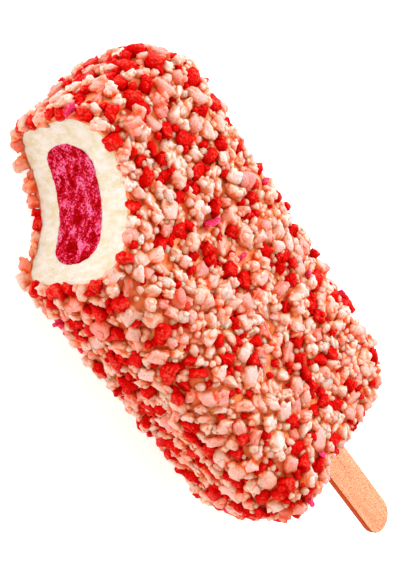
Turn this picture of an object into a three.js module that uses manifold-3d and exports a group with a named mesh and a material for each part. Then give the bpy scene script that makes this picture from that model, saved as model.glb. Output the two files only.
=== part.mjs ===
// A crumb-coated ice cream bar on a flat wooden stick, with one corner of its rounded tip bitten off.
//
// Millimetres. The bar lies on its broad back. X runs from the tip to the stick, Y across the bar,
// and Z up through its thickness. The shapes are laid out with the tip of the ice cream at x = 0,
// its middle line at y = 0 and its back at z = 0, and at the end the whole group is shifted so that
// the origin is under the middle of the object, on the surface that it lies on.
//
// Four pieces: the vanilla ice cream, a strawberry centre that runs through it, a sticky coat with
// crumbs fused onto it, and the stick.

import * as THREE from 'three';
import { mergeVertices } from 'three/addons/utils/BufferGeometryUtils.js';
import { MeshSurfaceSampler } from 'three/addons/math/MeshSurfaceSampler.js';
import Module from 'manifold-3d';

const wasm = await Module();
wasm.setup();

// ---- Driving dimensions ----

// the moulded ice cream
const BAR_LENGTH = 103.5;
const BAR_WIDTH = 52.9; // at the tip
const BAR_THICKNESS = 30.8;
const STICK_END_SHARE = 0.955; // width at the stick end, as a share of the width at the tip
const BAR_SKEW = 2.0; // how far the stick end has drifted towards +Y
const TIP_CORNER = 12.5; // corner radii seen from above
const STICK_END_CORNER = 9.3;
const EDGE_ROUND = 9; // rounding from the broad faces into the narrow sides
const BAR_STEPS = { rim: 4, corner: 4 }; // facets across each rounding

// the strawberry centre
const CENTRE_INSET = 5.5; // from the bar's outline, seen from above
const CENTRE_CORNER = 8;
const CENTRE_THICKNESS = 15.6;
const CENTRE_BOTTOM = 6.9; // height of its underside above the bar's back
const CENTRE_ROUND = 5.5;
const CENTRE_STEPS = { rim: 3, corner: 3 };

// the coat and its crumbs
const GAP = 0.3; // clearance between pieces that touch on the real thing
const GLAZE_OUT = 1.3; // outer face of the sticky layer, above the ice cream
const NUGGET_COUNT = 140; // the largest crumbs, laid first
const NUGGET_LENGTHS = [6.4, 5.4]; // from the first to the last
const CHIP_COUNT = 190; // smaller, plainer crumbs between them
const CHIP_LENGTHS = [5.2, 4.0];
const CRUMB_WIDTH_SHARES = [0.7, 0.95]; // width of a crumb, as a share of its length
const CRUMB_TOP_LOW = 2.6; // the crumbs' tops stand between these heights above the ice cream
const CRUMB_TOP_HIGH = 3.6;
const CORNER_PILE = 2; // crumbs lie this much deeper on the stick end, near its -Y corner,
const CORNER_PILE_INSET = 6; // most of all this far in from the bar's side,
const CORNER_PILE_REACH = 14; // and no deeper beyond this distance from there
const CRUMB_SEAT = 1.1; // height of a crumb's middle above the ice cream
const CORNER_KNOCK = 0.15; // how far a crumb's corners are knocked in or out, as a share
const FLOOR_BELOW = 3.1; // level of the surface that the bar lies on, below the ice cream's back
const DRAWS_PER_CRUMB = 60; // places tried for each crumb, of which the emptiest is taken
const STICK_CLEARANCE = 3.2; // no crumb's middle is nearer than this to the stick
const BITE_CLEARANCE = 1; // nor nearer than this to the bite

// the bite: a smooth scoop, slightly narrower at the back
const BITE_FRONT = { x: 4.75, y: -29.1, radius: 23.4 };
const BITE_BACK = { x: 3.6, y: -26.5, radius: 21.6 };
const BITE_OVERSHOOT = 10; // how far the scoop goes on above and below the ice cream
const BITE_SIDES = 72;

// the flat stick, 3/8 inch wide
const STICK_LENGTH = 93;
const STICK_WIDTH = 9.5;
const STICK_THICKNESS = 2;
const STICK_EASE = 0.35; // rounding of its long edges
const STICK_STEPS = { rim: 2, corner: 8 };
const STICK_SHOWN = 38; // length outside the ice cream
const STICK_OFF_CENTRE = 4.8; // where it leaves the bar, measured from the middle line
const STICK_ABOVE_MIDDLE = 1.55;
const STICK_TURN = THREE.MathUtils.degToRad(2.1);

// ---- Helpers ----

/** A repeatable random source, so that every build lays the same crumbs. */
function seededRandom(seed) {
  let state = seed >>> 0;
  return () => {
    state = (state + 0x6d2b79f5) >>> 0;
    let mixed = Math.imul(state ^ (state >>> 15), state | 1);
    mixed ^= mixed + Math.imul(mixed ^ (mixed >>> 7), mixed | 61);
    return ((mixed ^ (mixed >>> 14)) >>> 0) / 2 ** 32;
  };
}

/** Turns a closed three.js geometry into a manifold solid. */
function toSolid(geometry) {
  const bare = geometry.clone();
  bare.deleteAttribute('normal');
  bare.deleteAttribute('uv');
  const merged = mergeVertices(bare, 1e-4);
  const mesh = new wasm.Mesh({
    numProp: 3,
    vertProperties: new Float32Array(merged.attributes.position.array),
    triVerts: new Uint32Array(merged.index.array),
  });
  return new wasm.Manifold(mesh);
}

/** Turns a manifold solid back into a three.js geometry. */
function toGeometry(solid) {
  const mesh = solid.getMesh();
  const geometry = new THREE.BufferGeometry();
  geometry.setAttribute('position', new THREE.BufferAttribute(mesh.vertProperties, 3));
  geometry.setIndex(new THREE.BufferAttribute(mesh.triVerts, 1));
  geometry.computeVertexNormals();
  return geometry;
}

/** A convex outline with an arc at each corner; corners run anticlockwise. */
function roundedOutline(corners) {
  const shape = new THREE.Shape();
  corners.forEach((corner, i) => {
    const before = corners[(i + corners.length - 1) % corners.length].point;
    const after = corners[(i + 1) % corners.length].point;
    const toBefore = before.clone().sub(corner.point).normalize();
    const toAfter = after.clone().sub(corner.point).normalize();
    const halfAngle = Math.acos(toBefore.dot(toAfter)) / 2;
    const inward = toBefore.clone().add(toAfter).normalize();
    const arcCentre = corner.point.clone().addScaledVector(inward, corner.radius / Math.sin(halfAngle));
    const reach = corner.radius / Math.tan(halfAngle);
    const arcStart = corner.point.clone().addScaledVector(toBefore, reach).sub(arcCentre);
    const arcEnd = corner.point.clone().addScaledVector(toAfter, reach).sub(arcCentre);
    shape.absarc(arcCentre.x, arcCentre.y, corner.radius, arcStart.angle(), arcEnd.angle(), false);
  });
  return shape;
}

/** The bar's outline from above, grown (or, below zero, shrunk) by `grow`. */
function barOutline(grow, tipCorner, stickEndCorner) {
  const tipHalf = BAR_WIDTH / 2 + grow;
  const stickHalf = (BAR_WIDTH * STICK_END_SHARE) / 2 + grow;
  const tip = -grow;
  const stickEnd = BAR_LENGTH + grow;
  return roundedOutline([
    { point: new THREE.Vector2(tip, -tipHalf), radius: tipCorner },
    { point: new THREE.Vector2(stickEnd, BAR_SKEW - stickHalf), radius: stickEndCorner },
    { point: new THREE.Vector2(stickEnd, BAR_SKEW + stickHalf), radius: stickEndCorner },
    { point: new THREE.Vector2(tip, tipHalf), radius: tipCorner },
  ]);
}

/** A slab of the given outline whose rim is rounded by `round`, from z = bottom up. */
function roundedSlab(outline, bottom, thickness, round, steps) {
  const geometry = new THREE.ExtrudeGeometry(outline, {
    depth: thickness - 2 * round,
    bevelEnabled: true,
    bevelThickness: round,
    bevelSize: round,
    bevelOffset: -round,
    bevelSegments: steps.rim,
    curveSegments: steps.corner,
  });
  return geometry.translate(0, 0, bottom + round);
}

/** The bar's form, grown evenly by `grow`: the ice cream at 0, the glaze further out. */
function barForm(grow) {
  const outline = barOutline(grow, TIP_CORNER + grow, STICK_END_CORNER + grow);
  return roundedSlab(outline, -grow, BAR_THICKNESS + 2 * grow, EDGE_ROUND + grow, BAR_STEPS);
}

/** The strawberry centre's form, grown by `grow`. */
function centreForm(grow) {
  const corner = CENTRE_CORNER + grow;
  const outline = barOutline(grow - CENTRE_INSET, corner, corner);
  const thickness = CENTRE_THICKNESS + 2 * grow;
  return roundedSlab(outline, CENTRE_BOTTOM - grow, thickness, CENTRE_ROUND + grow, CENTRE_STEPS);
}

/** The stick's form along X from its buried end, with its middle plane at z = 0, grown by `grow`. */
function stickForm(grow) {
  const radius = STICK_WIDTH / 2;
  const shape = new THREE.Shape();
  shape.absarc(radius, 0, radius + grow, Math.PI / 2, (3 * Math.PI) / 2, false);
  shape.absarc(STICK_LENGTH - radius, 0, radius + grow, -Math.PI / 2, Math.PI / 2, false);
  const thickness = STICK_THICKNESS + 2 * grow;
  return roundedSlab(shape, -thickness / 2, thickness, STICK_EASE, STICK_STEPS);
}

/** Puts an object where the stick lies: turned a little, with STICK_SHOWN outside the bar. */
function placeAsStick(object) {
  const buried = STICK_LENGTH - STICK_SHOWN;
  object.rotation.z = STICK_TURN;
  object.position.set(
    BAR_LENGTH - buried * Math.cos(STICK_TURN),
    STICK_OFF_CENTRE - buried * Math.sin(STICK_TURN),
    BAR_THICKNESS / 2 + STICK_ABOVE_MIDDLE,
  );
  object.updateMatrix();
  return object;
}

/** The scoop that the bite takes out, taller than the coated bar. */
function biteForm() {
  const share = BITE_OVERSHOOT / BAR_THICKNESS;
  const leanX = (BITE_FRONT.x - BITE_BACK.x) / BAR_THICKNESS;
  const leanY = (BITE_FRONT.y - BITE_BACK.y) / BAR_THICKNESS;
  const spread = BITE_FRONT.radius - BITE_BACK.radius;
  const topRadius = BITE_FRONT.radius + spread * share;
  const bottomRadius = BITE_BACK.radius - spread * share;
  const height = BAR_THICKNESS + 2 * BITE_OVERSHOOT;
  const geometry = new THREE.CylinderGeometry(topRadius, bottomRadius, height, BITE_SIDES);
  geometry.rotateX(Math.PI / 2);
  geometry.translate(0, 0, BAR_THICKNESS / 2);
  geometry.applyMatrix4(new THREE.Matrix4().makeShear(0, 0, 0, 0, leanX, leanY));
  return geometry.translate(BITE_BACK.x, BITE_BACK.y, 0);
}

// ---- Crumbs ----

const random = seededRandom(7);
const between = (low, high) => low + (high - low) * random();
const UP = new THREE.Vector3(0, 0, 1);

/** One crumb about the origin, from a tumbled and chipped regular solid, `top` high at its highest. */
function crumbForm(regularSolid, length, top) {
  regularSolid.deleteAttribute('normal');
  regularSolid.deleteAttribute('uv');
  const crumb = mergeVertices(regularSolid, 1e-4);
  crumb.rotateX(between(0, Math.PI)).rotateY(between(0, Math.PI));
  const corners = crumb.attributes.position;
  for (let i = 0; i < corners.count; i += 1) {
    const knock = between(1 - CORNER_KNOCK, 1 + CORNER_KNOCK);
    corners.setXYZ(i, corners.getX(i) * knock, corners.getY(i) * knock, corners.getZ(i) * knock);
  }
  crumb.computeBoundingBox();
  const size = crumb.boundingBox.getSize(new THREE.Vector3());
  const width = length * between(...CRUMB_WIDTH_SHARES);
  return crumb.scale(length / size.x, width / size.y, top / crumb.boundingBox.max.z);
}

/** True where a crumb would be: on the coat that the bite left, and clear of the stick. */
function isCrumbed(point, stick) {
  const height = THREE.MathUtils.clamp(point.z / BAR_THICKNESS, 0, 1);
  const biteX = THREE.MathUtils.lerp(BITE_BACK.x, BITE_FRONT.x, height);
  const biteY = THREE.MathUtils.lerp(BITE_BACK.y, BITE_FRONT.y, height);
  const biteRadius = THREE.MathUtils.lerp(BITE_BACK.radius, BITE_FRONT.radius, height);
  const bitten = Math.hypot(point.x - biteX, point.y - biteY) < biteRadius + BITE_CLEARANCE;
  const local = point.clone().applyMatrix4(stick.matrix.clone().invert());
  const besideStick = Math.max(Math.abs(local.y) - STICK_WIDTH / 2, 0);
  const aboveStick = Math.max(Math.abs(local.z) - STICK_THICKNESS / 2, 0);
  const atStick = local.x > 0 && Math.hypot(besideStick, aboveStick) < STICK_CLEARANCE;
  return !bitten && !atStick;
}

/** How much deeper the crumbs lie at a point, because they have piled up near one corner. */
function pileAt(point) {
  const pileY = BAR_SKEW - (BAR_WIDTH * STICK_END_SHARE) / 2 + CORNER_PILE_INSET;
  const distance = Math.hypot(point.x - BAR_LENGTH, point.y - pileY);
  return CORNER_PILE * Math.max(0, 1 - distance / CORNER_PILE_REACH);
}

/** Places for the crumbs on the glaze: each new one goes where there is most room. */
function crumbPlaces(stick) {
  const glaze = new THREE.Mesh(barForm(GLAZE_OUT));
  const sampler = new MeshSurfaceSampler(glaze).setRandomGenerator(random).build();
  // the first crumb is a tall one under the middle of the back, so the bar rests on its flat there
  const underMiddle = new THREE.Vector3(BAR_LENGTH / 2, 0, -GLAZE_OUT);
  const places = [{ point: underMiddle, normal: UP.clone().negate(), top: CRUMB_TOP_HIGH }];
  while (places.length < NUGGET_COUNT + CHIP_COUNT) {
    let best = null;
    for (let draw = 0; draw < DRAWS_PER_CRUMB; draw += 1) {
      const point = new THREE.Vector3();
      const normal = new THREE.Vector3();
      sampler.sample(point, normal);
      const room = Math.min(...places.map((place) => place.point.distanceTo(point)));
      if (isCrumbed(point, stick) && (best === null || room > best.room)) {
        best = { point, normal, room };
      }
    }
    if (best !== null) {
      places.push({ ...best, top: between(CRUMB_TOP_LOW, CRUMB_TOP_HIGH) + pileAt(best.point) });
    }
  }
  return places;
}

/** A crumb solid, turned at random on its place and sunk into the glaze. */
function layCrumb(place, regularSolid, length) {
  const geometry = crumbForm(regularSolid, length, place.top - CRUMB_SEAT);
  geometry.rotateZ(between(0, 2 * Math.PI));
  geometry.applyQuaternion(new THREE.Quaternion().setFromUnitVectors(UP, place.normal));
  const seat = place.point.clone().addScaledVector(place.normal, CRUMB_SEAT - GLAZE_OUT);
  return toSolid(geometry.translate(seat.x, seat.y, seat.z));
}

// ---- The four pieces ----

function namedMesh(name, geometry, color, roughness) {
  const material = new THREE.MeshStandardMaterial({ color, roughness, metalness: 0, flatShading: true });
  const mesh = new THREE.Mesh(geometry, material);
  mesh.name = name;
  return mesh;
}

const stick = placeAsStick(namedMesh('stick', stickForm(0), '#e9b183', 0.75));
const stickSlot = toSolid(stickForm(GAP).applyMatrix4(stick.matrix));
const bite = toSolid(biteForm());

function makeIceCream() {
  const hollow = toSolid(centreForm(GAP));
  const solid = toSolid(barForm(0)).subtract(hollow).subtract(stickSlot).subtract(bite);
  return namedMesh('ice_cream', toGeometry(solid), '#f6efd0', 0.55);
}

function makeStrawberryCentre() {
  const solid = toSolid(centreForm(0)).subtract(stickSlot).subtract(bite);
  return namedMesh('strawberry_centre', toGeometry(solid), '#b3123f', 0.5);
}

function makeCrumbCoating() {
  let solid = toSolid(barForm(GLAZE_OUT));
  crumbPlaces(stick).forEach((place, i) => {
    const isNugget = i < NUGGET_COUNT;
    const share = isNugget ? i / NUGGET_COUNT : (i - NUGGET_COUNT) / CHIP_COUNT;
    const length = THREE.MathUtils.lerp(...(isNugget ? NUGGET_LENGTHS : CHIP_LENGTHS), share);
    const regularSolid = isNugget ? new THREE.IcosahedronGeometry() : new THREE.OctahedronGeometry();
    solid = solid.add(layCrumb(place, regularSolid, length));
  });
  // crumbs that would reach below the surface that the bar lies on are ground off flat
  const groundDepth = 20;
  const ground = new THREE.BoxGeometry(2 * BAR_LENGTH, 2 * BAR_WIDTH, groundDepth);
  ground.translate(BAR_LENGTH / 2, 0, -FLOOR_BELOW - groundDepth / 2);
  solid = solid.subtract(toSolid(barForm(GAP))).subtract(stickSlot).subtract(bite);
  return namedMesh('crumb_coating', toGeometry(solid.subtract(toSolid(ground))), '#efb091', 0.8);
}

const icePop = new THREE.Group();
icePop.add(makeIceCream(), makeStrawberryCentre(), makeCrumbCoating(), stick);

const extent = new THREE.Box3().setFromObject(icePop, true);
const middle = extent.getCenter(new THREE.Vector3());
icePop.position.set(-middle.x, -middle.y, -extent.min.z);

export default icePop;
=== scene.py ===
# %% [markdown]
# # A bitten ice cream bar in a coat of crumbs
#
# The real thing is a moulded bar of vanilla ice cream round a strawberry centre. It is dipped in a
# sticky strawberry glaze, rolled in biscuit crumbs and broken freeze-dried fruit, and it sits on a
# flat birch stick. One corner of the tip has been bitten off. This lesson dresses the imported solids:
# each piece is modelled in the space that its solid holds, and then given its finish.

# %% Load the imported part
import math

import bmesh
import bpy
import numpy as np
from mathutils import Matrix, Quaternion, Vector, noise
from mathutils.bvhtree import BVHTree


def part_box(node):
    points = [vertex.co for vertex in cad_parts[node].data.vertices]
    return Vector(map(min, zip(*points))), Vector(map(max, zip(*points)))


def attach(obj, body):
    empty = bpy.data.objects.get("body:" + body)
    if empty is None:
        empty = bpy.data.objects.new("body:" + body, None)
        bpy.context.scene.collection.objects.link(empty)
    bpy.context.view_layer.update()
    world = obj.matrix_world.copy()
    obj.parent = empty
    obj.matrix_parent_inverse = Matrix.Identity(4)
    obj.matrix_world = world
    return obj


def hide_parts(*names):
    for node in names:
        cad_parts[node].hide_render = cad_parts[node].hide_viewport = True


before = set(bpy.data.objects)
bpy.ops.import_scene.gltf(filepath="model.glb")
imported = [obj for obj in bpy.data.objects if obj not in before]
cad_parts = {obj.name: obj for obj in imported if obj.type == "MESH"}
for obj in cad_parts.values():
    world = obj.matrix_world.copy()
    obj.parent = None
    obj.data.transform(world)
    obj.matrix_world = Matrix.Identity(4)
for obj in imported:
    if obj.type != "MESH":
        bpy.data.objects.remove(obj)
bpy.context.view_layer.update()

MM = 0.001
print("nodes:", sorted(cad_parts))

# %% [markdown]
# ## The bar's own measures
#
# The lengths below are those of the mould, the bite and the stick, in millimetres. Their place comes
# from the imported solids: the tip, the stick end, the back and the face of the ice cream are the sides
# of its box. So a point can be given along, across and up through the bar, whatever the origin is.

# %% Measures and the bar's own axes
ice_low, ice_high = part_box("ice_cream")
coat_low, coat_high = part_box("crumb_coating")
stick_low, stick_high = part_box("stick")

BAR_LENGTH = (ice_high.x - ice_low.x) / MM
BAR_THICKNESS = (ice_high.z - ice_low.z) / MM
TIP_WIDTH = 52.9
STICK_END_WIDTH = 50.52
SKEW = 2.0  # the stick end has drifted this far across
FAR_SIDE = 27.18  # from the middle line at the tip to the side that wasn't bitten
TIP_CORNER = 12.5
STICK_END_CORNER = 9.3
EDGE_ROUND = 9.0

BITE_FACE = (4.75, -29.1, 23.4)  # along, across and radius, at the shown face
BITE_BACK = (3.6, -26.5, 21.6)  # the same at the back


def bar_point(along, across, up):
    """A point given in millimetres from the tip, the middle line and the back of the ice cream."""
    middle_line = ice_high.y - FAR_SIDE * MM
    return Vector((ice_low.x + along * MM, middle_line + across * MM, ice_low.z + up * MM))


def bite_at(up):
    """Where the bite's axis is, and its radius, at a height above the back; all in millimetres."""
    share = up / BAR_THICKNESS
    return [back + (face - back) * share for back, face in zip(BITE_BACK, BITE_FACE)]


print("ice cream: %.1f long, %.1f thick" % (BAR_LENGTH, BAR_THICKNESS))
print("bite radius at mid height: %.1f" % bite_at(BAR_THICKNESS / 2)[2])

# %% [markdown]
# ## Camera
#
# The bar lies on its back and is looked at from above and from beside the bitten tip, with the camera
# turned almost onto its side, so that the bar runs down a tall view with its stick at the bottom.
# A level camera is aimed first and then rolled about its own line of sight.

# %% Camera
CAMERA_AZIMUTH = math.radians(-128.29)
CAMERA_ELEVATION = math.radians(49.19)
CAMERA_ROLL = math.radians(85.64)
CAMERA_DISTANCE = 231.7
CAMERA_TARGET = bar_point(51.73, 0.0, 15.41)
CAMERA_LENS = 63.94
CAMERA_SHIFT = (0.0157, 0.0200)

towards_camera = Vector(
    (
        math.cos(CAMERA_ELEVATION) * math.cos(CAMERA_AZIMUTH),
        math.cos(CAMERA_ELEVATION) * math.sin(CAMERA_AZIMUTH),
        math.sin(CAMERA_ELEVATION),
    )
)


def add_object(name, data):
    """Puts an object in the scene, at the origin, unturned and unscaled."""
    added = bpy.data.objects.new(name, data)
    bpy.context.scene.collection.objects.link(added)
    return added


camera = add_object("camera", bpy.data.cameras.new("camera"))
camera.location = CAMERA_TARGET + towards_camera * CAMERA_DISTANCE * MM
camera.rotation_mode = "QUATERNION"
camera.rotation_quaternion = towards_camera.to_track_quat("Z", "Y") @ Quaternion((0, 0, 1), CAMERA_ROLL)
camera.data.sensor_width = 36
camera.data.lens = CAMERA_LENS
camera.data.shift_x, camera.data.shift_y = CAMERA_SHIFT
camera.data.clip_start = 0.01
bpy.context.scene.camera = camera
print("camera at, mm:", [round(v / MM) for v in camera.location])

# %% [markdown]
# ## Floor and light
#
# Frozen food is shot in a bright tent. Warm ambient light fills the gaps between the crumbs, so they
# glow instead of going black. The lamps are a little cool, so that cream stays cream. One beyond the
# far side rakes over the broad face and gives each crumb a bright and a dark side. A larger one at the
# tip end fills the bite. A white backdrop stands behind low views and lets all light through. The
# Standard view transform keeps the saturated reds, which a filmic one would wash out.

# %% Floor, lamps and sky
FLOOR_SIZE = 3.0
TENT_RADIUS = 1.4
LAMP_REACH = 1.0  # from the bar to each lamp
FILL_COLOUR = (1.0, 0.58, 0.41, 1.0)
FILL_STRENGTH = 0.95


def make_object(name, bm):
    """Puts a bmesh in the scene as an object."""
    mesh = bpy.data.meshes.new(name)
    bm.to_mesh(mesh)
    bm.free()
    return add_object(name, mesh)


def add_lamp(name, direction, size, watts, colour):
    """A square lamp that looks at the bar from a direction."""
    lamp = add_object(name, bpy.data.lights.new(name, "AREA"))
    aim = Vector(direction).normalized()
    lamp.location = CAMERA_TARGET + aim * LAMP_REACH
    lamp.rotation_mode = "QUATERNION"
    lamp.rotation_quaternion = aim.to_track_quat("Z", "Y")
    lamp.data.size = size
    lamp.data.energy = watts
    lamp.data.color = colour
    return lamp


bm = bmesh.new()
bmesh.ops.create_grid(bm, x_segments=1, y_segments=1, size=FLOOR_SIZE / 2)
floor = make_object("floor", bm)

bm = bmesh.new()
bmesh.ops.create_uvsphere(bm, u_segments=48, v_segments=24, radius=TENT_RADIUS)
bmesh.ops.reverse_faces(bm, faces=bm.faces)
backdrop = make_object("backdrop", bm)
backdrop.visible_diffuse = False
backdrop.visible_glossy = False
backdrop.visible_transmission = False
backdrop.visible_shadow = False

add_lamp("raking_lamp", (-0.12, 0.74, 0.66), 0.2, 11.0, (0.7, 0.91, 1.0))
add_lamp("tip_lamp", (-0.8, -0.15, 0.58), 0.6, 2.1, (0.86, 0.98, 1.0))

world = bpy.context.scene.world or bpy.data.worlds.new("tent")
bpy.context.scene.world = world
world.use_nodes = True
sky = world.node_tree.nodes["Background"]
sky.inputs["Color"].default_value = FILL_COLOUR
sky.inputs["Strength"].default_value = FILL_STRENGTH
bpy.context.scene.view_settings.view_transform = "Standard"

# %% [markdown]
# ## One way to write materials
#
# Every finish is a small node tree. One function adds a node, sets its properties, and sets or links
# its inputs, so each material below reads from its pattern to its shader. Colours are given as the eye
# names them, in sRGB hex, and turned to linear light. A pattern's scale is one over its real size.


# %% Material helpers
def linear(hex_colour):
    """An sRGB hex colour as linear red, green, blue and alpha."""
    channels = [int(hex_colour[i : i + 2], 16) / 255 for i in (1, 3, 5)]
    return [c / 12.92 if c <= 0.04045 else ((c + 0.055) / 1.055) ** 2.4 for c in channels] + [1.0]


def per_mm(size):
    """The texture scale, on Object coordinates in metres, that gives a pattern of this size in mm."""
    return 1.0 / (size * MM)


def add_node(material, kind, inputs=None, stops=None, **settings):
    """Adds a node with its settings; an input is a value or the socket that feeds it."""
    tree = material.node_tree
    node = tree.nodes.new(kind)
    for name, value in settings.items():
        setattr(node, name, value)
    for name, value in (inputs or {}).items():
        if isinstance(value, bpy.types.NodeSocket):
            tree.links.new(value, node.inputs[name])
        else:
            node.inputs[name].default_value = value
    if stops:
        elements = node.color_ramp.elements
        while len(elements) < len(stops):
            elements.new(0.5)
        for element, (position, hex_colour) in zip(elements, stops):
            element.position = position
            element.color = linear(hex_colour)
    return node


def new_material(name):
    """A new material and its Principled shader."""
    material = bpy.data.materials.new(name)
    material.use_nodes = True
    shader = material.node_tree.nodes["Principled BSDF"]
    return material, shader


def set_inputs(material, shader, **values):
    """Sets or links the shader's sockets; an underscore in a name stands for a space."""
    for name, value in values.items():
        socket = shader.inputs[name.replace("_", " ")]
        if isinstance(value, bpy.types.NodeSocket):
            material.node_tree.links.new(value, socket)
        else:
            socket.default_value = value


def dress(piece, material):
    """Gives a whole piece one material, whatever slots its cuts have left on it."""
    piece.data.materials.clear()
    piece.data.materials.append(material)
    piece.data.polygons.foreach_set("material_index", [0] * len(piece.data.polygons))


VALUE_A, VALUE_B = 2, 3  # a Mix node's inputs for numbers
MIX_A, MIX_B = 6, 7  # its inputs for colours
MIX_COLOUR = 2  # and its colour output

# %% [markdown]
# The floor and the backdrop are matt drafting film, lit from behind, which keeps shadows on it pale. It
# needs only a weak glow and the faint mottle that keeps it from looking like a flat field of colour.

# %% Floor film
FLOOR_GLOW = 0.66

film, film_shader = new_material("drafting_film_backlit")
where = add_node(film, "ShaderNodeTexCoord").outputs["Object"]
mottle = add_node(film, "ShaderNodeTexNoise", {"Vector": where, "Scale": per_mm(3.0), "Detail": 3.0})
tone = add_node(
    film, "ShaderNodeValToRGB", {"Fac": mottle.outputs["Fac"]}, [(0.3, "#f8f8f7"), (0.7, "#fafaf9")]
)
set_inputs(film, film_shader, Base_Color=tone.outputs["Color"], Roughness=0.9, IOR=1.45)
set_inputs(film, film_shader, Emission_Color=(1.0, 1.0, 1.0, 1.0), Emission_Strength=FLOOR_GLOW)
dress(floor, film)
dress(backdrop, film)
print("floor ready")

# %% [markdown]
# ## The moulded form
#
# The bar, its centre and the glaze are the same kind of body: a slab with rounded corners seen from
# above, whose rim is rounded into the sides. It starts as a cube. Its eight corners go where the slab's
# corners are, the upright edges are bevelled by the corner radius, and then both rims are bevelled.


# %% Rounded slab
TOUCH = 1e-6  # in metres: places closer than this are the same


def upright_edges(bm, is_wanted):
    """Edges that stand along Z and whose middle passes a test."""
    chosen = []
    for edge in bm.edges:
        a, b = (v.co for v in edge.verts)
        stands = abs(a.z - b.z) > 0.5 * (a - b).length
        if stands and is_wanted((a + b) / 2):
            chosen.append(edge)
    return chosen


def is_level(face):
    """True for a broad face, which lies flat."""
    return abs(face.normal.z) > 0.9


def rim_edges(bm):
    """The edges round the broad faces."""
    return [edge for edge in bm.edges if any(is_level(face) for face in edge.link_faces)]


def round_edges(bm, edges, radius, segments):
    """Bevels edges to an arc."""
    bmesh.ops.bevel(
        bm,
        geom=edges,
        offset=radius,
        offset_type="OFFSET",
        affect="EDGES",
        segments=segments,
        profile=0.5,
        material=-1,
        clamp_overlap=False,
    )


def rounded_slab(grow, bottom, thickness, corners, edge_round, steps):
    """The bar's outline grown by `grow`, as a slab with rounded corners and rims. Millimetres."""
    bm = bmesh.new()
    bmesh.ops.create_cube(bm, size=2)
    for vert in bm.verts:
        at_tip = vert.co.x < 0
        half_width = (TIP_WIDTH if at_tip else STICK_END_WIDTH) / 2 + grow
        middle = 0.0 if at_tip else SKEW
        along = -grow if at_tip else BAR_LENGTH + grow
        up = bottom if vert.co.z < 0 else bottom + thickness
        vert.co = bar_point(along, middle + vert.co.y * half_width, up)
    half_way = bar_point(BAR_LENGTH / 2, 0, 0).x
    tip_corner, stick_end_corner = corners
    at_tip = upright_edges(bm, lambda point: point.x < half_way)
    round_edges(bm, at_tip, tip_corner * MM, steps)
    stick_end = bar_point(BAR_LENGTH + grow, 0, 0).x
    at_stick_end = upright_edges(bm, lambda point: point.x > stick_end - TOUCH)
    round_edges(bm, at_stick_end, stick_end_corner * MM, steps)
    round_edges(bm, rim_edges(bm), edge_round * MM, steps)
    bmesh.ops.recalc_face_normals(bm, faces=bm.faces)
    return bm


def bar_form(grow, steps=12):
    """The moulded bar, grown evenly."""
    corners = (TIP_CORNER + grow, STICK_END_CORNER + grow)
    return rounded_slab(grow, -grow, BAR_THICKNESS + 2 * grow, corners, EDGE_ROUND + grow, steps)


test = bar_form(0)
lows = [min(v.co[axis] for v in test.verts) / MM for axis in range(3)]
highs = [max(v.co[axis] for v in test.verts) / MM for axis in range(3)]
test.free()
print("bar form, mm:", [round(v, 2) for v in lows + highs])
print("ice cream's solid, mm:", [round(v / MM, 2) for v in (*ice_low, *ice_high)])

# %% [markdown]
# ## Cutting and finishing helpers
#
# Frozen surfaces that are broken, not moulded, need real relief. A form is given even, fine faces by a
# voxel remesh, moved by noise, and then cut. Each modifier is turned into plain mesh at once, so that
# the mesh holds just what was made.


# %% Modifier, cut and relief helpers
def apply_modifiers(piece):
    """Replaces a piece's mesh by what its modifiers make of it."""
    graph = bpy.context.evaluated_depsgraph_get()
    mesh = bpy.data.meshes.new_from_object(piece.evaluated_get(graph))
    old = piece.data
    piece.modifiers.clear()
    piece.data = mesh
    mesh.name = piece.name
    bpy.data.meshes.remove(old)
    return piece


def cut_by(piece, *cutters):
    """Takes the cutters' volume out of a piece."""
    for cutter in cutters:
        modifier = piece.modifiers.new("cut", "BOOLEAN")
        modifier.operation = "DIFFERENCE"
        modifier.solver = "MANIFOLD"
        modifier.object = cutter
    return apply_modifiers(piece)


def even_faces(piece, size):
    """Rebuilds a closed form from faces of one size, in millimetres."""
    modifier = piece.modifiers.new("even", "REMESH")
    modifier.mode = "VOXEL"
    modifier.voxel_size = size * MM
    return apply_modifiers(piece)


def push_out(piece, relief):
    """Moves each vertex along its normal by relief(point in mm), in millimetres."""
    normals = [v.normal.copy() for v in piece.data.vertices]
    for vert, normal in zip(piece.data.vertices, normals):
        vert.co += normal * relief(vert.co / MM) * MM
    return piece


def shade_smooth(piece, sharp_from):
    """Smooth shading, except over edges sharper than an angle in degrees."""
    piece.data.shade_smooth()
    piece.data.set_sharp_from_angle(angle=math.radians(sharp_from))


def wave(point, size, seed=0.0):
    """Smooth noise between about -1 and 1 whose bumps have this size, in millimetres."""
    return noise.noise(Vector(point) / size + Vector((seed, 1.7 * seed, -seed)))


def discard(*pieces):
    """Removes tools that were needed only for cutting."""
    for piece in pieces:
        bpy.data.objects.remove(piece)


# %% [markdown]
# ## The stick
#
# Ice cream sticks are stamped from birch veneer and tumbled until the edges are eased. The ends are
# full half circles. It is a thin box whose four uprights are bevelled by half the width, with a small
# bevel along both rims. The cut edges get a material of their own: darker end grain, deepened by
# painted shade.

# %% Stick form
STICK_LENGTH = 93.0
STICK_WIDTH = 9.5
STICK_THICKNESS = 2.0
STICK_EASE = 0.35  # rounding of the rims
SLOT_GAP = 0.05  # room round the stick where it goes into the bar
STICK_TURN = math.radians(2.1)
stick_middle = (stick_low + stick_high) / 2


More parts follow.
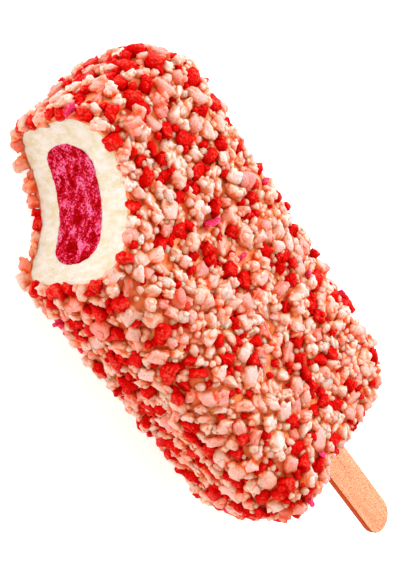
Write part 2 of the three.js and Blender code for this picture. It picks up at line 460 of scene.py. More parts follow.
def stick_form(grow):
    """The stick at its place, grown by millimetres."""
    bm = bmesh.new()
    bmesh.ops.create_cube(bm, size=1)
    size = [(v + 2 * grow) * MM for v in (STICK_LENGTH, STICK_WIDTH, STICK_THICKNESS)]
    bmesh.ops.scale(bm, vec=size, verts=bm.verts)
    almost_half = 0.4999 * (STICK_WIDTH + 2 * grow) * MM
    round_edges(bm, upright_edges(bm, lambda point: True), almost_half, 24)
    round_edges(bm, rim_edges(bm), STICK_EASE * MM, 3)
    for face in bm.faces:
        face.material_index = 0 if is_level(face) else 1
    bmesh.ops.rotate(bm, cent=(0, 0, 0), matrix=Matrix.Rotation(STICK_TURN, 3, "Z"), verts=bm.verts)
    bmesh.ops.translate(bm, vec=stick_middle, verts=bm.verts)
    return bm


stick = make_object("birch_stick", stick_form(0))
shade_smooth(stick, 40)
stick_slot = make_object("stick_slot_tool", stick_form(SLOT_GAP))
print("stick faces:", len(stick.data.polygons))

# %% [markdown]
# Birch is pale and close-grained. Its figure is long, low-contrast streaks along the stick with fine
# short pores, so the noise is stretched along the grain. The edge is cut across the fibres, which drink
# up more light, so it is darker; its deep orange is also painted shade.


# %% Birch material
def birch(name, pale, dark, roughness):
    """Tumbled birch veneer: long streaks, fine pores, no varnish."""
    material, shader = new_material(name)
    where = add_node(material, "ShaderNodeTexCoord").outputs["Object"]
    along_grain = add_node(
        material,
        "ShaderNodeMapping",
        {"Vector": where, "Rotation": (0, 0, -STICK_TURN), "Scale": (0.06, 1.0, 1.0)},
    )
    grain = along_grain.outputs["Vector"]
    streaks = add_node(
        material, "ShaderNodeTexNoise", {"Vector": grain, "Scale": per_mm(0.9), "Detail": 4.0}
    )
    pores = add_node(
        material, "ShaderNodeTexNoise", {"Vector": where, "Scale": per_mm(0.3), "Detail": 2.0}
    )
    figure = add_node(
        material, "ShaderNodeValToRGB", {"Fac": streaks.outputs["Fac"]}, [(0.2, dark), (0.75, pale)]
    )
    flecks = add_node(
        material,
        "ShaderNodeValToRGB",
        {"Fac": pores.outputs["Fac"]},
        [(0.38, "#c48464"), (0.52, "#ffffff")],
    )
    colour = add_node(
        material,
        "ShaderNodeMix",
        {0: 0.9, MIX_A: figure.outputs["Color"], MIX_B: flecks.outputs["Color"]},
        data_type="RGBA",
        blend_type="MULTIPLY",
    )
    bump = add_node(
        material,
        "ShaderNodeBump",
        {"Height": streaks.outputs["Fac"], "Strength": 0.35, "Distance": 0.08 * MM},
    )
    set_inputs(
        material,
        shader,
        Base_Color=colour.outputs[MIX_COLOUR],
        Roughness=roughness,
        IOR=1.45,
        Specular_IOR_Level=0.2,
        Normal=bump.outputs["Normal"],
    )
    return material


stick.data.materials.append(birch("birch_veneer_tumbled", "#f2cca8", "#ecae84", 0.6))
# The edge's deep orange is darker end grain and painted shade.
stick.data.materials.append(birch("birch_veneer_cut_edge_and_shade", "#c85400", "#a84000", 0.75))
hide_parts("stick")
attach(stick, "root")
print("stick dressed")

# %% [markdown]
# ## The bite
#
# Teeth shear through frozen ice cream and leave a smooth scoop with faint drag lines, while the icy
# centre breaks into grains. The scoop is a slightly leaning cone with fine faces, moved in and out by
# noise before it cuts. There are two such tools, because each filling breaks in its own way.

# %% Bite tools
BITE_OVERSHOOT = 10.0
BITE_GRID = 0.36  # size of a face on the scoop's wall


def drag_relief(along_arc, up):
    """Vanilla: low, long swells along the arc, and fine lines where the teeth dragged."""
    swell = 0.30 * wave((along_arc / 3.0, up, 0), 5.5, 3.1)
    lines = 0.12 * wave((along_arc / 4.0, up, 0), 1.2, 8.2)
    frost = 0.12 * wave((along_arc, up, 0), 1.1, 5.0)
    return swell + lines + frost


def grain_relief(along_arc, up):
    """Strawberry ice: lumps of a few millimetres, broken into grains under a millimetre."""
    lumps = 0.42 * wave((along_arc, up, 0), 3.2, 1.4)
    grains = 0.30 * wave((along_arc, up, 0), 1.15, 6.6)
    crystals = 0.16 * wave((along_arc, up, 0), 0.7, 2.9)
    return lumps + grains + crystals


def bite_tool(name, relief):
    """The volume that the bite takes away, with the relief of what it leaves."""
    low, high = -BITE_OVERSHOOT, BAR_THICKNESS + BITE_OVERSHOOT
    bm = bmesh.new()
    bmesh.ops.create_cone(
        bm,
        cap_ends=True,
        segments=round(2 * math.pi * BITE_FACE[2] / BITE_GRID),
        radius1=bite_at(low)[2],
        radius2=bite_at(high)[2],
        depth=high - low,
    )
    bmesh.ops.subdivide_edges(
        bm, edges=upright_edges(bm, lambda point: True), cuts=round((high - low) / BITE_GRID)
    )
    for vert in bm.verts:
        up = vert.co.z + (low + high) / 2
        angle = math.atan2(vert.co.y, vert.co.x)
        along, across, radius = bite_at(up)
        reach = radius + relief(angle * radius, up)
        vert.co = bar_point(along + reach * math.cos(angle), across + reach * math.sin(angle), up)
    return make_object(name, bm)


vanilla_bite = bite_tool("vanilla_bite_tool", drag_relief)
strawberry_bite = bite_tool("strawberry_bite_tool", grain_relief)
print("faces on each bite tool:", len(vanilla_bite.data.polygons))

# %% [markdown]
# ## Ice cream and its centre
#
# The centre is piped into the bar before it sets hard, so its skin wanders a little. The same wandering
# form is the filling and the hollow that holds it, which leaves no gap where the bite crosses both.

# %% Ice cream and strawberry centre
CENTRE_INSET = 5.5
CENTRE_CORNER = 8.0
CENTRE_BOTTOM = 6.9
CENTRE_THICKNESS = 15.6
CENTRE_ROUND = 5.5
CENTRE_FACES = 0.8

centre_slab = rounded_slab(
    -CENTRE_INSET, CENTRE_BOTTOM, CENTRE_THICKNESS, (CENTRE_CORNER, CENTRE_CORNER), CENTRE_ROUND, 8
)
centre = even_faces(make_object("strawberry_centre_filling", centre_slab), CENTRE_FACES)
push_out(centre, lambda point: 0.55 * wave(point, 6.0, 4.4) + 0.18 * wave(point, 2.0, 9.1))
hollow = add_object("hollow_tool", centre.data.copy())

ice_cream = make_object("vanilla_ice_cream", bar_form(0))
cut_by(ice_cream, hollow, stick_slot, vanilla_bite)
cut_by(centre, stick_slot, strawberry_bite)
shade_smooth(ice_cream, 50)
shade_smooth(centre, 70)
discard(hollow)
print("ice cream faces:", len(ice_cream.data.polygons), "centre faces:", len(centre.data.polygons))

# %% [markdown]
# Vanilla ice cream is full of tiny air bells, so light goes a few millimetres into it before it comes
# back out. That is subsurface scattering, and it is what makes it look soft. Its tone is pale with
# slightly yellow patches.

# %% Vanilla material
vanilla, vanilla_shader = new_material("vanilla_ice_cream_churned")
where = add_node(vanilla, "ShaderNodeTexCoord").outputs["Object"]
dragged = add_node(vanilla, "ShaderNodeMapping", {"Vector": where, "Scale": (1.0, 1.0, 0.5)})
cloud = add_node(
    vanilla,
    "ShaderNodeTexNoise",
    {"Vector": dragged.outputs["Vector"], "Scale": per_mm(1.6), "Detail": 8.0, "Roughness": 0.62},
)
tone = add_node(
    vanilla,
    "ShaderNodeValToRGB",
    {"Fac": cloud.outputs["Fac"]},
    [(0.32, "#d6daba"), (0.48, "#deeadc"), (0.62, "#e6f5f6")],
)
frost = add_node(vanilla, "ShaderNodeTexNoise", {"Vector": where, "Scale": per_mm(0.45), "Detail": 3.0})
bump = add_node(
    vanilla, "ShaderNodeBump", {"Height": frost.outputs["Fac"], "Strength": 1.0, "Distance": 0.4 * MM}
)
set_inputs(
    vanilla,
    vanilla_shader,
    Base_Color=tone.outputs["Color"],
    Roughness=0.55,
    IOR=1.33,
    Subsurface_Weight=0.25,
    Subsurface_Radius=(1.0, 0.8, 0.55),
    Subsurface_Scale=1.2 * MM,
    Normal=bump.outputs["Normal"],
)
dress(ice_cream, vanilla)
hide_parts("ice_cream")
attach(ice_cream, "root")
print("vanilla dressed")

# %% [markdown]
# Strawberry ice freezes into grains. Broken grains scatter light and look frosted pink, while the wet
# syrup between them stays deep crimson. Fine noise sets the grains, and a broad one gathers the frost
# into slanting drifts.

# %% Strawberry ice material
strawberry, strawberry_shader = new_material("strawberry_ice_granular")
where = add_node(strawberry, "ShaderNodeTexCoord").outputs["Object"]
grain = add_node(
    strawberry,
    "ShaderNodeTexNoise",
    {"Vector": where, "Scale": per_mm(0.5), "Detail": 3.0, "Roughness": 0.7},
)
slanted = add_node(
    strawberry,
    "ShaderNodeMapping",
    {"Vector": where, "Rotation": (0.0, 0.6, 0.5), "Scale": (1.0, 0.4, 1.0)},
)
drift = add_node(
    strawberry,
    "ShaderNodeTexNoise",
    {"Vector": slanted.outputs["Vector"], "Scale": per_mm(2.6), "Detail": 3.0},
)
frosting = add_node(
    strawberry,
    "ShaderNodeMix",
    {0: 0.45, VALUE_A: grain.outputs["Fac"], VALUE_B: drift.outputs["Fac"]},
    data_type="FLOAT",
)
tone = add_node(
    strawberry,
    "ShaderNodeValToRGB",
    {"Fac": frosting.outputs[0]},
    [(0.43, "#a00000"), (0.484, "#cc0008"), (0.526, "#e61c58"), (0.582, "#fc90cc")],
)
bump = add_node(
    strawberry,
    "ShaderNodeBump",
    {"Height": grain.outputs["Fac"], "Strength": 1.0, "Distance": 0.9 * MM},
)
set_inputs(
    strawberry,
    strawberry_shader,
    Base_Color=tone.outputs["Color"],
    Roughness=0.5,
    IOR=1.33,
    Specular_IOR_Level=0.02,
    Subsurface_Weight=0.05,
    Subsurface_Radius=(1.0, 0.3, 0.3),
    Subsurface_Scale=0.8 * MM,
    Normal=bump.outputs["Normal"],
)
dress(centre, strawberry)
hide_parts("strawberry_centre")
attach(centre, "root")
print("strawberry centre dressed")

# %% [markdown]
# ## The glaze
#
# The glaze is what holds the crumbs. It is a thin, lumpy, sticky skin, thicker where it has crept up
# between them. A slightly grown bar is remeshed and moved by noise, and the bar itself is taken out.

# %% Glaze
GLAZE_THICKNESS = 0.9
GLAZE_FACES = 0.9
GLAZE_GAP = 0.04  # between the glaze and the ice cream

glaze = even_faces(make_object("strawberry_glaze", bar_form(GLAZE_THICKNESS)), GLAZE_FACES)
push_out(glaze, lambda point: 0.35 * wave(point, 2.6, 7.7) + 0.2 * wave(point, 1.3, 2.2))
bar_tool = make_object("bar_tool", bar_form(GLAZE_GAP))
cut_by(glaze, bar_tool, stick_slot, vanilla_bite)
shade_smooth(glaze, 60)
discard(bar_tool)
print("glaze faces:", len(glaze.data.polygons))

# %% Glaze material
glaze_finish, glaze_shader = new_material("strawberry_glaze_set_cold")
where = add_node(glaze_finish, "ShaderNodeTexCoord").outputs["Object"]
pools = add_node(
    glaze_finish, "ShaderNodeTexNoise", {"Vector": where, "Scale": per_mm(3.5), "Detail": 4.0}
)
tone = add_node(
    glaze_finish,
    "ShaderNodeValToRGB",
    {"Fac": pools.outputs["Fac"]},
    [(0.3, "#e44c24"), (0.44, "#ec7440"), (0.56, "#f29660"), (0.7, "#f6b480")],
)
grit = add_node(
    glaze_finish, "ShaderNodeTexNoise", {"Vector": where, "Scale": per_mm(0.8), "Detail": 3.0}
)
bump = add_node(
    glaze_finish, "ShaderNodeBump", {"Height": grit.outputs["Fac"], "Strength": 0.5, "Distance": 0.2 * MM}
)
set_inputs(
    glaze_finish,
    glaze_shader,
    Base_Color=tone.outputs["Color"],
    Roughness=0.32,
    IOR=1.45,
    Specular_IOR_Level=0.3,
    Subsurface_Weight=0.5,
    Subsurface_Radius=(1.0, 0.3, 0.15),
    Subsurface_Scale=1.8 * MM,
    Normal=bump.outputs["Normal"],
)
dress(glaze, glaze_finish)
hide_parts("crumb_coating")
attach(glaze, "root")
print("glaze dressed")

# %% [markdown]
# ## Where the crumbs stick
#
# A rolled bar picks up crumbs until there is no bare glaze left for one to stick to. The largest ones
# are laid first. Each new crumb tries several places and takes the one with the most room, so small
# crumbs end up in the gaps between large ones. No crumb lands on the bite or on the stick. Teeth leave
# crumbs right up to the edge of the bite, and hanging a little over it, so a row follows that edge.

# %% Places on the bar
rng = np.random.default_rng(20)
SEAT = 0.15  # underside of a crumb above the ice cream, sunk in the glaze
TRIES = 16
ELBOW_ROOM = 0.38  # of its own length, that a crumb keeps to itself
STICK_CLEARANCE = 1.3


def surface_of(bm):
    """A bmesh's triangles, normals and areas, in order of place, since bevels leave no fixed order."""
    bmesh.ops.triangulate(bm, faces=bm.faces)
    triangles = np.array([[v.co for v in face.verts] for face in bm.faces])
    normals = np.array([face.normal for face in bm.faces])
    areas = np.array([face.calc_area() for face in bm.faces])
    bm.free()
    order = np.lexsort(np.round(triangles.mean(axis=1) / MM, 4).T)
    return triangles[order], normals[order], areas[order]


triangles, triangle_normals, triangle_areas = surface_of(bar_form(0, steps=14))
axis_x = Vector((math.cos(STICK_TURN), math.sin(STICK_TURN), 0))
axis_y = Vector((-math.sin(STICK_TURN), math.cos(STICK_TURN), 0))


def scatter(count):
    """Random points on the ice cream's surface, with their normals."""
    picks = rng.choice(len(triangles), size=count, p=triangle_areas / triangle_areas.sum())
    a, b = rng.random((2, count, 1))
    flip = a + b > 1
    a, b = np.where(flip, 1 - a, a), np.where(flip, 1 - b, b)
    corner = triangles[picks]
    points = corner[:, 0] + a * (corner[:, 1] - corner[:, 0]) + b * (corner[:, 2] - corner[:, 0])
    return points, triangle_normals[picks]


def beyond_bite(points):
    """How far outside the bite's wall points are, in millimetres."""
    along, across, up = ((points - np.array(bar_point(0, 0, 0))) / MM).T
    bite_along, bite_across, bite_radius = bite_at(up)
    return np.hypot(along - bite_along, across - bite_across) - bite_radius


def is_open(points, half_length):
    """True where a crumb can lie: outside the bite, and clear of the stick."""
    off_bite = beyond_bite(points) > 0.5 * half_length
    offset = (points - np.array(stick_middle)) / MM
    beside = np.abs(offset @ np.array(axis_y)) - STICK_WIDTH / 2
    above = np.abs(offset[:, 2]) - STICK_THICKNESS / 2
    room = np.hypot(np.maximum(beside, 0), np.maximum(above, 0))
    off_stick = (offset @ np.array(axis_x) < 0) | (room > half_length + STICK_CLEARANCE)
    return off_bite & off_stick


def lay_rim(placed):
    """Crumbs in a row along the edge of the bite, hanging out furthest at the back."""
    points, normals = scatter(RIM_TRIES)
    lean_out = RIM_LEAN * np.maximum(-normals[:, 2], 0)
    at_edge = np.abs(beyond_bite(points) + lean_out - RIM_INSET) < RIM_BAND
    points_out = []
    for point, normal in zip(points[at_edge], normals[at_edge]):
        if all(np.linalg.norm(point - other[0]) > RIM_SPACING * MM for other in points_out):
            length = rng.uniform(*RIM_LENGTHS)
            placed.append([*point, ELBOW_ROOM * length * MM])
            points_out.append((point, normal, length))
    return points_out


def lay_crumbs(lengths, placed):
    """Finds a place for each crumb length, in order; `placed` holds rows of x, y, z, radius."""
    points_out = []
    for length in lengths:
        points, normals = scatter(TRIES)
        allowed = is_open(points, length / 2)
        if not allowed.any():
            continue
        points, normals = points[allowed], normals[allowed]
        others = np.array(placed)
        gaps = np.linalg.norm(points[:, None] - others[None, :, :3], axis=2) - others[None, :, 3]
        best = int(gaps.min(axis=1).argmax())
        placed.append([*points[best], ELBOW_ROOM * length * MM])
        points_out.append((points[best], normals[best], length))
    return points_out


NUGGETS = 1330
NUGGET_LENGTHS = (6.3, 3.0)
GRAINS = 1900
GRAIN_LENGTHS = (3.0, 1.4)
RIM_TRIES = 30000
RIM_INSET = 0.5  # from the wall of the bite to the row's middle line
RIM_BAND = 0.5  # how far a crumb's middle may be from that line
RIM_LEAN = 0.6  # how much further out crumbs hang at the back
RIM_SPACING = 2.2
RIM_LENGTHS = (3.8, 5.0)
placed = []
nugget_places = lay_rim(placed)
print("crumbs along the bite:", len(nugget_places))
nugget_places += lay_crumbs(np.linspace(*NUGGET_LENGTHS, NUGGETS), placed)
grain_places = lay_crumbs(np.linspace(*GRAIN_LENGTHS, GRAINS), placed)
print("nuggets:", len(nugget_places), "grains:", len(grain_places))

# %% [markdown]
# ## What a crumb looks like
#
# A baked crumb is a puffed clump: a blunt body with smaller lumps grown onto it and creases between
# them. Broken freeze-dried fruit is blunter, and flakes of its skin are plain. A lump starts as a cube
# with its sides cut, is drawn part of the way to a ball, and is then knocked about by noise. A few
# dozen clumps are enough, since each is also stretched and turned when it is laid.


# %% Crumb shapes
noise.seed_set(20)  # noise_vector would start from the clock otherwise
BALL_RADIUS = 0.62  # of the ball that a lump is drawn towards, for a cube of side 1
LUMP_SIZES = (0.36, 0.62)  # of the body's own
LUMP_PLACE = (0.7, 0.36)  # from the body's middle to a lump's, and what a lump's size takes off that


def lump(cuts, roundness, relief, seed):
    """The vertices and faces of one blunt lump, about 1 across."""
    bm = bmesh.new()
    bmesh.ops.create_cube(bm, size=1)
    bmesh.ops.subdivide_edges(bm, edges=bm.edges, cuts=cuts, use_grid_fill=True)
    for vert in bm.verts:
        ball = vert.co.normalized() * BALL_RADIUS
        vert.co = vert.co.lerp(ball, roundness)
        shove = noise.noise_vector(vert.co * 1.5 + Vector((seed, 0.37 * seed, 5.1)))
        vert.co += shove * relief
    coordinates = np.array([v.co for v in bm.verts])
    faces = np.array([[v.index for v in face.verts] for face in bm.faces])
    bm.free()
    return coordinates, faces


def clump(lumps, roundness, relief, seed):
    """A body with smaller lumps round it, scaled to fill a cube of side 1."""
    draw = np.random.default_rng(seed)
    coordinates, faces = lump(2, roundness, relief, seed)
    taken = [np.zeros(3)]
    furthest, sunk = LUMP_PLACE
    for number in range(lumps):
        size = draw.uniform(*LUMP_SIZES)
        candidates = draw.normal(size=(8, 3))
        candidates /= np.linalg.norm(candidates, axis=1, keepdims=True)
        direction = max(candidates, key=lambda way: min(-(way @ other) for other in taken))
        taken.append(direction)
        small, small_faces = lump(1, 0.9, 0.3, seed + 41 * (number + 1))
        faces = np.vstack([faces, small_faces + len(coordinates)])
        coordinates = np.vstack([coordinates, small * size + direction * (furthest - sunk * size)])
    middle = (coordinates.max(0) + coordinates.min(0)) / 2
    return (coordinates - middle) / (coordinates.max(0) - coordinates.min(0)), faces


def crumb_family(count, lumps, roundness, relief, seed):
    """Several clumps that share one set of faces."""
    shapes = [clump(lumps, roundness, relief, seed + i) for i in range(count)]
    return np.array([coordinates for coordinates, _ in shapes]), shapes[0][1]


def grain_family(count, seed):
    """Single small lumps that share one set of faces."""
    shapes = [lump(1, 0.9, 0.2, seed + i) for i in range(count)]
    unit = [coordinates / np.ptp(coordinates, axis=0) for coordinates, _ in shapes]
    return np.array(unit), shapes[0][1]


BISCUIT_SHAPES = crumb_family(48, 4, 0.6, 0.4, 100)
FRUIT_SHAPES = crumb_family(32, 1, 0.5, 0.36, 300)
FLAKE_SHAPES = crumb_family(12, 0, 0.5, 0.3, 500)
GRAIN_SHAPES = grain_family(24, 600)
print("faces on a biscuit crumb:", len(BISCUIT_SHAPES[1]), "and on a grain:", len(GRAIN_SHAPES[1]))

# %% [markdown]
# ## Laying the crumbs
#
# All crumbs of one kind become one mesh, built from arrays. Each crumb is stretched to its length,
# width and height, tilted a little, and stood on the surface. They lie deeper at one corner of the
# stick end, where they have piled up. Anything that would sink below the surface that the bar lies on
# is pressed flat against it. A colour attribute goes with every vertex: red is the crumb's own random
# tint, green is how high up the crumb the vertex is, and blue says how open it lies, filled in later.

# %% Crumb builder
TOPS = (2.2, 3.8)  # height of a nugget's top above the ice cream
GRAIN_TOPS = (1.4, 2.7)
CORNER_PILE = 2.0  # extra height at the middle of the pile
PILE_INSET = 6.0  # from the bar's side to the middle of the pile
PILE_REACH = 14.0
TALLEST = 0.95  # of a crumb's length
TILT = math.radians(26)  # usual lean, about each of two axes


def turn_about(axis, angles):
    """Rotation matrices about X, Y or Z, one for each angle."""
    cos, sin = np.cos(angles), np.sin(angles)
    matrices = np.zeros((len(angles), 3, 3))
    first, second = (axis + 1) % 3, (axis + 2) % 3
    matrices[:, axis, axis] = 1
    matrices[:, first, first] = cos
    matrices[:, second, second] = cos
    matrices[:, first, second] = -sin
    matrices[:, second, first] = sin
    return matrices


def stand_on(normals):
    """Matrices that take Z to each normal."""
    helper = np.where(np.abs(normals[:, :1]) < 0.8, [[1.0, 0, 0]], [[0, 1.0, 0]])
    side = np.cross(helper, normals)
    side /= np.linalg.norm(side, axis=1, keepdims=True)
    other = np.cross(normals, side)
    return np.stack([side, other, normals], axis=2)


def pile_at(points):
    """How much deeper the crumbs lie at points, in millimetres."""
    middle = np.array(bar_point(BAR_LENGTH, SKEW - STICK_END_WIDTH / 2 + PILE_INSET, 0))
    distance = np.linalg.norm(points[:, :2] - middle[:2], axis=1) / MM
    return CORNER_PILE * np.maximum(0, 1 - distance / PILE_REACH)


def crumbs_piece(name, places, family, widths, tops):
    """Joins crumbs at their places into one piece. Sizes in millimetres."""
    shapes, faces = family
    count = len(places)
    points = np.array([place[0] for place in places])
    normals = np.array([place[1] for place in places])
    lengths = np.array([place[2] for place in places])
    top = rng.uniform(*tops, count) + pile_at(points)
    height = np.minimum(top - SEAT, lengths * TALLEST)
    size = np.stack([lengths, lengths * rng.uniform(*widths, count), height], axis=1)
    crumbs = shapes[rng.integers(len(shapes), size=count)].copy()
    tumbled = turn_about(0, rng.integers(4, size=count) * math.pi / 2)
    tumbled = tumbled @ turn_about(1, rng.integers(4, size=count) * math.pi / 2)
    crumbs = np.einsum("nij,nvj->nvi", tumbled, crumbs) * size[:, None]
    tilted = turn_about(2, rng.uniform(0, 2 * math.pi, count))
    tilted = tilted @ turn_about(0, rng.normal(0, TILT, count))
    tilted = tilted @ turn_about(1, rng.normal(0, TILT, count))
    crumbs = np.einsum("nij,nvj->nvi", tilted, crumbs)
    crumbs[:, :, 2] += (top - crumbs[:, :, 2].max(axis=1))[:, None]
    raised = (crumbs[:, :, 2] / top[:, None]).reshape(-1, 1)
    laid = np.einsum("nij,nvj->nvi", stand_on(normals), crumbs) * MM + points[:, None]
    laid = laid.reshape(-1, 3)
    laid = np.clip(laid, np.array(coat_low), np.array(coat_high))
    steps = np.arange(count)[:, None, None] * shapes.shape[1]
    all_faces = (faces[None] + steps).reshape(-1, faces.shape[1])
    mesh = bpy.data.meshes.new(name)
    mesh.from_pydata(laid.tolist(), [], all_faces.tolist())
    mesh.shade_smooth()
    tint = np.repeat(rng.random((count, 1)), shapes.shape[1], axis=0)
    values = np.hstack([tint, np.clip(raised, 0, 1), np.ones((len(laid), 2))])
    attribute = mesh.attributes.new("crumb", "FLOAT_COLOR", "POINT")
    attribute.data.foreach_set("color", values.astype(np.float32).ravel())
    piece = add_object(name, mesh)
    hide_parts("crumb_coating")
    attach(piece, "root")
    print(name, "crumbs:", count, "triangles:", 2 * len(all_faces))
    return piece


# %% [markdown]
# ## Which crumb is which
#
# Fruit sticks in small drifts, where the bar met more of it, and a dusting of its powder turns whole
# patches of biscuit rosy. A smooth noise over the surface says how much there is of each at a place,
# and a draw for each crumb decides. The broad faces get less fruit, because the bar is rolled over its
# sides and dipped at its ends. Fruit also sinks in between the biscuit as it breaks up.

# %% Sorting and laying
FRUIT_SHARE = 0.38
FINE_FRUIT_SHARE = 0.5
FRUIT_SIZE = 0.84  # of a biscuit crumb's
FRUIT_SPACING = 4.6  # fruit is rarer within this distance of other fruit, in millimetres
FLAKE_SHARE = 0.03
FLAKE_SIZE = 0.7
ROSY_SHARE = 0.3
BUFF_SHARE = 0.45  # of what is neither fruit nor rosy
FACE_DRIFT = 0.55  # fruit on the broad faces, against the shares above
SIDE_DRIFT = 0.8  # more of it on the sides and the ends
STICK_END_DRIFT = 0.3  # more towards the stick end
TIP_DRIFT = 0.7  # more at the tip, none by a third of the way along
BISCUIT_WIDTHS = (0.62, 0.95)  # widths are shares of a crumb's length
FRUIT_WIDTHS = (0.6, 1.0)
FLAKE_WIDTHS = (0.2, 0.36)
FINE_WIDTHS = (0.65, 1.0)


def sort_kinds(places, fruit_share):
    """Splits places into pale, buff and rosy biscuit, fruit and flake."""
    kinds = {"pale": [], "buff": [], "rosy": [], "fruit": [], "flake": []}
    fruit_points = []
    for place in places:
        point = Vector(place[0]) / MM
        along = (place[0][0] - ice_low.x) / (BAR_LENGTH * MM)
        drift = FACE_DRIFT + SIDE_DRIFT * (1 - abs(place[1][2])) + STICK_END_DRIFT * along
        drift += max(TIP_DRIFT - 2 * along, 0)
        drift *= 1 + 0.5 * wave(point, 7.0, 12.0)
        drift /= 1 + sum((point - other).length < FRUIT_SPACING for other in fruit_points)
        powder = 1 + 1.3 * wave(point, 14.0, 31.0)
        draw, rosy_draw, buff_draw = rng.random(3)
        if draw < fruit_share * drift:
            kinds["fruit"].append((place[0], place[1], FRUIT_SIZE * place[2]))
            fruit_points.append(point)
        elif draw < (fruit_share + FLAKE_SHARE) * drift:
            kinds["flake"].append((place[0], place[1], FLAKE_SIZE * place[2]))
        elif rosy_draw < ROSY_SHARE * powder:
            kinds["rosy"].append(place)
        elif buff_draw < BUFF_SHARE:
            kinds["buff"].append(place)
        else:
            kinds["pale"].append(place)
    return kinds


nuggets = sort_kinds(nugget_places, FRUIT_SHARE)
grains = sort_kinds(grain_places, FINE_FRUIT_SHARE)
pale_biscuit = crumbs_piece("pale_biscuit_crumbs", nuggets["pale"], BISCUIT_SHAPES, BISCUIT_WIDTHS, TOPS)
buff_biscuit = crumbs_piece("buff_biscuit_crumbs", nuggets["buff"], BISCUIT_SHAPES, BISCUIT_WIDTHS, TOPS)
rosy_biscuit = crumbs_piece("rosy_biscuit_crumbs", nuggets["rosy"], BISCUIT_SHAPES, BISCUIT_WIDTHS, TOPS)
fruit = crumbs_piece("strawberry_pieces", nuggets["fruit"], FRUIT_SHAPES, FRUIT_WIDTHS, TOPS)
flakes = crumbs_piece("pink_fruit_flakes", nuggets["flake"], FLAKE_SHAPES, FLAKE_WIDTHS, TOPS)
fine_biscuit = crumbs_piece(
    "fine_biscuit_crumbs",
    grains["pale"] + grains["buff"] + grains["rosy"],
    GRAIN_SHAPES,
    FINE_WIDTHS,
    GRAIN_TOPS,
)
fine_fruit = crumbs_piece(
    "fine_strawberry_pieces", grains["fruit"] + grains["flake"], GRAIN_SHAPES, FRUIT_WIDTHS, GRAIN_TOPS
)
crumb_pieces = [pale_biscuit, buff_biscuit, rosy_biscuit, fruit, flakes, fine_biscuit, fine_fruit]

# %% [markdown]
# ## How open each spot lies
#
# Light that gets down between the crumbs bounces from one to the next and comes back redder each time,
# and the glaze has seeped into the same gaps. So the colour there is painted shade and glaze tint, both
# following how closed in a spot is. From each vertex a few short rays go out round its normal, and the
# share that gets away is its openness.

# %% Openness
RAY_REACH = 3.6
RAY_START = 0.06
AXIS_LEANS = [(1, 0, 0), (-1, 0, 0), (0, 1, 0), (0, -1, 0), (0, 0, 1), (0, 0, -1)]
CORNER_LEANS = [(0.6, 0.6, 0.6), (-0.6, -0.6, 0.6), (0.6, -0.6, -0.6), (-0.6, 0.6, -0.6)]
LEANS = [Vector(lean) for lean in AXIS_LEANS + CORNER_LEANS]


def ray_tree(pieces):
    """One search tree over the faces of several pieces."""
    vertices = []
    faces = []
    for piece in pieces:
        start = len(vertices)
        vertices.extend(vert.co for vert in piece.data.vertices)
        faces.extend([start + index for index in face.vertices] for face in piece.data.polygons)
    return BVHTree.FromPolygons(vertices, faces)


def openness(tree, point, normal):
    """The share of rays round a normal that touch nothing within reach."""
    start = point + normal * RAY_START * MM
    away = 0
    for lean in LEANS:
        hit = tree.ray_cast(start, normal + lean, RAY_REACH * MM)
        away += hit[0] is None
    return away / len(LEANS)


def note_openness(piece, tree):
    """Writes each vertex's openness in the blue of its crumb attribute."""
    mesh = piece.data
    found = [openness(tree, vert.co, vert.normal) for vert in mesh.vertices]
    values = np.empty(4 * len(found), dtype=np.float32)
    mesh.attributes["crumb"].data.foreach_get("color", values)
    values[2::4] = found
    mesh.attributes["crumb"].data.foreach_set("color", values)
    return sum(found) / len(found)


tree = ray_tree([glaze, *crumb_pieces])
for piece in crumb_pieces:
    print(piece.name, "openness: %.2f" % note_openness(piece, tree))
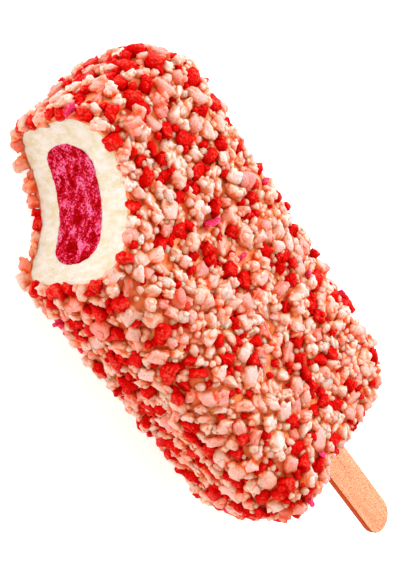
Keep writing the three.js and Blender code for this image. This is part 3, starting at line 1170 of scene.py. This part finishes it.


# %% [markdown]
# ## Crumb finishes
#
# Biscuit crumbs are matt and porous. Open tops are pale cream; closed-in sides turn peach and then
# orange, partly the glaze's tint and partly painted shade. That painted shade and tint go mostly by
# openness, then by how low on the crumb a spot is, and a little by its pores. The red dust from broken
# fruit leaves specks. Fruit pieces are dense freeze-dried flesh, grainy and red, with painted shade
# where they are closed in, and a little pinker, as painted light, where they lie open.

# %% Biscuit materials
def biscuit(name, clean_stops):
    """Baked crumb: matt and porous, clean on top, glaze tint and painted shade below, specked with dust.
    """
    material, shader = new_material(name)
    shader.subsurface_method = "BURLEY"
    values = add_node(material, "ShaderNodeAttribute", attribute_name="crumb", attribute_type="GEOMETRY")
    split = add_node(material, "ShaderNodeSeparateColor", {"Color": values.outputs["Color"]})
    where = add_node(material, "ShaderNodeTexCoord").outputs["Object"]
    clean = add_node(material, "ShaderNodeValToRGB", {"Fac": split.outputs["Red"]}, clean_stops)
    pores = add_node(
        material,
        "ShaderNodeTexNoise",
        {"Vector": where, "Scale": per_mm(0.6), "Detail": 4.0, "Roughness": 0.62},
    )
    # Painted shade, mixed with the glaze's tint: closed-in and low spots go peach and then orange.
    exposed = add_node(
        material,
        "ShaderNodeMix",
        {0: 0.35, VALUE_A: split.outputs["Blue"], VALUE_B: split.outputs["Green"]},
        data_type="FLOAT",
    )
    soaked_and_shaded = add_node(
        material,
        "ShaderNodeMix",
        {0: 0.2, VALUE_A: exposed.outputs[0], VALUE_B: pores.outputs["Fac"]},
        data_type="FLOAT",
    )
    glaze_stain_and_shade = add_node(
        material,
        "ShaderNodeValToRGB",
        {"Fac": soaked_and_shaded.outputs[0]},
        [(0.22, "#ff8440"), (0.4, "#feac72"), (0.58, "#fdd2b0"), (0.78, "#ffffff")],
    )
    stained_and_shaded = add_node(
        material,
        "ShaderNodeMix",
        {0: 1.0, MIX_A: clean.outputs["Color"], MIX_B: glaze_stain_and_shade.outputs["Color"]},
        data_type="RGBA",
        blend_type="MULTIPLY",
    )
    dust = add_node(
        material, "ShaderNodeTexNoise", {"Vector": where, "Scale": per_mm(0.38), "Detail": 2.0}
    )
    dusted = add_node(
        material,
        "ShaderNodeMapRange",
        {"Value": dust.outputs["Fac"], "From Min": 0.6, "From Max": 0.68, "To Max": 0.55},
    )
    colour = add_node(
        material,
        "ShaderNodeMix",
        {0: dusted.outputs["Result"], MIX_A: stained_and_shaded.outputs[MIX_COLOUR], MIX_B: linear("#d83a28")},
        data_type="RGBA",
    )
    bump = add_node(
        material,
        "ShaderNodeBump",
        {"Height": pores.outputs["Fac"], "Strength": 1.0, "Distance": 0.45 * MM},
    )
    set_inputs(
        material,
        shader,
        Base_Color=colour.outputs[MIX_COLOUR],
        Roughness=0.65,
        IOR=1.45,
        Specular_IOR_Level=0.15,
        Subsurface_Weight=0.9,
        Subsurface_Radius=(1.0, 0.2, 0.1),
        Subsurface_Scale=3.0 * MM,
        Normal=bump.outputs["Normal"],
    )
    return material


pale_finish = biscuit("biscuit_crumb_baked_pale", [(0.0, "#e6dfde"), (0.5, "#e6d8d7"), (1.0, "#e6d0ce")])
buff_finish = biscuit("biscuit_crumb_baked_buff", [(0.0, "#e8d2c9"), (0.5, "#e8cac2"), (1.0, "#e8c0b9")])
rosy_finish = biscuit("biscuit_crumb_baked_rosy", [(0.0, "#e8c2bd"), (0.5, "#e8b2ad"), (1.0, "#e69e9b")])
dress(pale_biscuit, pale_finish)
dress(buff_biscuit, buff_finish)
dress(fine_biscuit, buff_finish)
dress(rosy_biscuit, rosy_finish)
print("biscuit crumbs dressed")


# %% Fruit materials
def dried_fruit(name, dark, middle, pale):
    """Freeze-dried fruit, broken: dense red flesh, painted shade where closed in, paler grain where open.
    """
    material, shader = new_material(name)
    shader.subsurface_method = "BURLEY"
    values = add_node(material, "ShaderNodeAttribute", attribute_name="crumb", attribute_type="GEOMETRY")
    split = add_node(material, "ShaderNodeSeparateColor", {"Color": values.outputs["Color"]})
    where = add_node(material, "ShaderNodeTexCoord").outputs["Object"]
    flesh = add_node(
        material, "ShaderNodeTexNoise", {"Vector": where, "Scale": per_mm(0.6), "Detail": 4.0}
    )
    # Painted shade and light: closed-in spots go dark red, open ones paler.
    flesh_and_shade = add_node(
        material,
        "ShaderNodeMix",
        {0: 0.4, VALUE_A: flesh.outputs["Fac"], VALUE_B: split.outputs["Blue"]},
        data_type="FLOAT",
    )
    tone = add_node(
        material,
        "ShaderNodeValToRGB",
        {"Fac": flesh_and_shade.outputs[0]},
        [(0.34, dark), (0.48, middle), (0.66, middle), (0.8, pale)],
    )
    bump = add_node(
        material,
        "ShaderNodeBump",
        {"Height": flesh.outputs["Fac"], "Strength": 1.0, "Distance": 0.9 * MM},
    )
    set_inputs(
        material,
        shader,
        Base_Color=tone.outputs["Color"],
        Roughness=0.32,
        IOR=1.45,
        Specular_IOR_Level=0.05,
        Subsurface_Weight=0.4,
        Subsurface_Radius=(1.0, 0.1, 0.05),
        Subsurface_Scale=1.2 * MM,
        Normal=bump.outputs["Normal"],
    )
    return material


red_fruit = dried_fruit("strawberry_freeze_dried", "#c20000", "#de0804", "#f45c4c")
dress(fruit, red_fruit)
dress(fine_fruit, red_fruit)
dress(flakes, dried_fruit("pink_fruit_skin_dried", "#cc1040", "#ee3a74", "#fa90b4"))
print("fruit dressed")

# %% Finish
discard(stick_slot, vanilla_bite, strawberry_bite)
